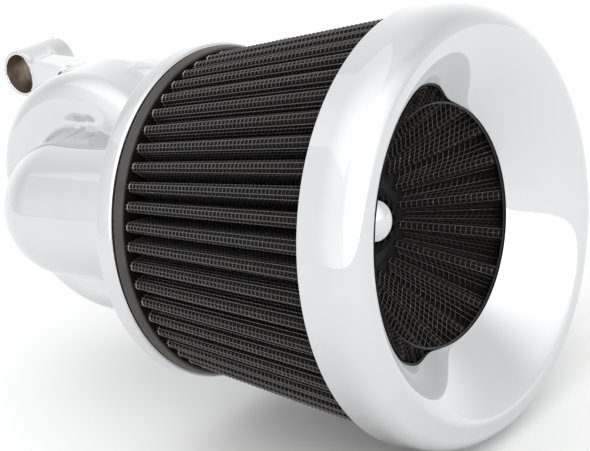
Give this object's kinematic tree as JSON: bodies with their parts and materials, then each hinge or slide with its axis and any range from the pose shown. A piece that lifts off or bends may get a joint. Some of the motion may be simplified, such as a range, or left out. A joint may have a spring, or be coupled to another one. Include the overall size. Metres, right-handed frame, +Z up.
{
  "type": "motorcycle air filter",
  "caption": "Right-angle motorcycle air intake with a chromed elbow casting, breather bosses, a tapered pleated open-mouth filter and a bell-mouth trim ring.",
  "frame": {"origin": "centre of the throttle seat on the mating face", "axes": "+Y along the throttle seat into the throttle body, +X along the filter out of its bell mouth, +Z up"},
  "size_m": [0.2666, 0.1459, 0.1458],
  "materials": {
    "chrome_casting": "polished chrome plate on cast aluminium",
    "chrome_trim": "polished chrome plate on spun and turned metal",
    "plain_steel": "zinc plated steel",
    "seal_rubber": "smooth black rubber",
    "rear_cap_rubber": "satin moulded dark grey rubber",
    "cap_rubber": "satin moulded black rubber",
    "filter_cloth": "matt black filter cloth",
    "wire_screen": "fine woven wire with a dark coating"
  },
  "bodies": {
    "root": {"filter_flange": "chrome_casting", "intake_elbow": "chrome_casting", "throttle_base": "chrome_casting", "rear_breather_arm": "chrome_casting", "front_breather_arm": "chrome_casting", "throttle_seal": "seal_rubber", "rear_breather_seal": "seal_rubber", "front_breather_seal": "seal_rubber", "centre_stud": "plain_steel", "jam_nut": "plain_steel", "lock_washer": "plain_steel"},
    "filter_unit": {"rear_end_cap": "rear_cap_rubber", "outer_pleats": "filter_cloth", "outer_screen": "wire_screen", "outer_backing_screen": "wire_screen", "inner_pleats": "filter_cloth", "inner_screen": "wire_screen", "inner_backing_screen": "wire_screen", "front_end_cap": "cap_rubber", "inner_cap": "cap_rubber", "cap_ferrule": "plain_steel", "cap_washer": "plain_steel", "trim_ring": "chrome_trim"},
    "centre_nut": {"centre_nut": "chrome_trim"}
  },
  "joints": [
    {"name": "filter_slide", "type": "slide", "parent": "root", "child": "filter_unit", "axis": [1, 0, 0], "range_m": [0, 0.08]},
    {"name": "nut_turn", "type": "hinge", "parent": "filter_unit", "child": "centre_nut", "pos_m": [0.143, -0.044, 0.003], "axis": [1, 0, 0], "continuous": true}
  ]
}
